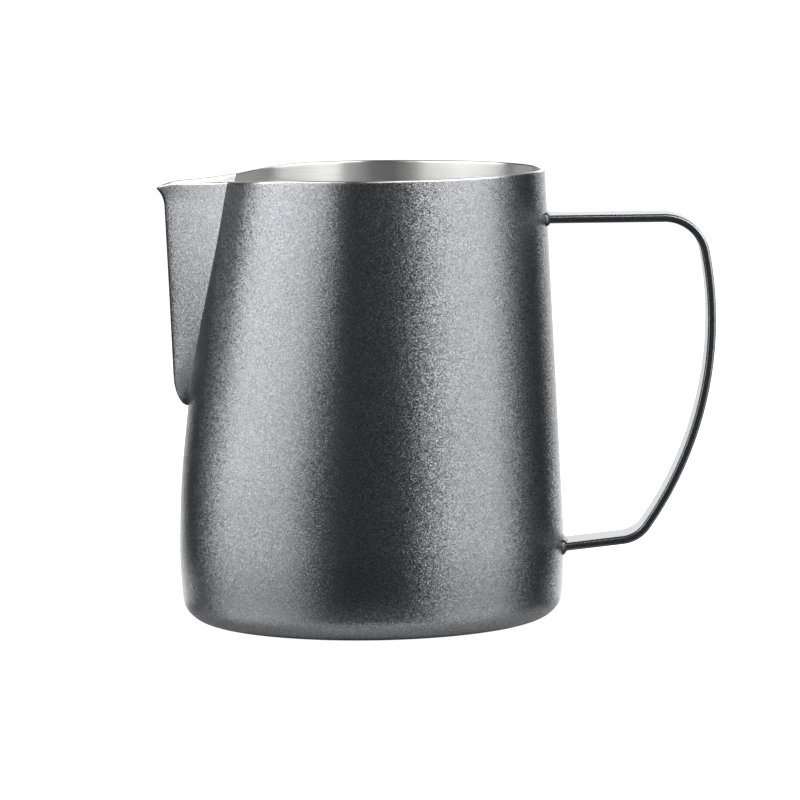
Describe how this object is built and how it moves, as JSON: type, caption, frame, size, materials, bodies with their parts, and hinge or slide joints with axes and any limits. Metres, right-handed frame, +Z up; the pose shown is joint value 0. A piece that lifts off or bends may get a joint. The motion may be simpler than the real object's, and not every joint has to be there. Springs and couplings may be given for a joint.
{
  "type": "milk frothing pitcher",
  "caption": "Steel milk frothing pitcher: tapered round cup with a long V-shaped pouring spout and a flat strap handle opposite, dark coated outside, bare brushed steel inside.",
  "frame": {"origin": "centre of the flat base, on the cup's axis, at the surface that the pitcher stands on", "axes": "+Z up along the cup's axis; the spout points along -X and the handle along +X; the XZ plane is the plane of symmetry"},
  "size_m": [0.1333, 0.0922, 0.107],
  "materials": {
    "coated_steel": "dark grey metallic powder coat, satin, with a fine sparkle grain",
    "bare_steel": "brushed round the cup, satin"
  },
  "bodies": {
    "root": {"body_shell": "coated_steel", "spout": "coated_steel", "spout_seam": "coated_steel", "handle_strap": "coated_steel", "handle_weld_upper": "coated_steel", "handle_weld_lower": "coated_steel"}
  },
  "joints": []
}
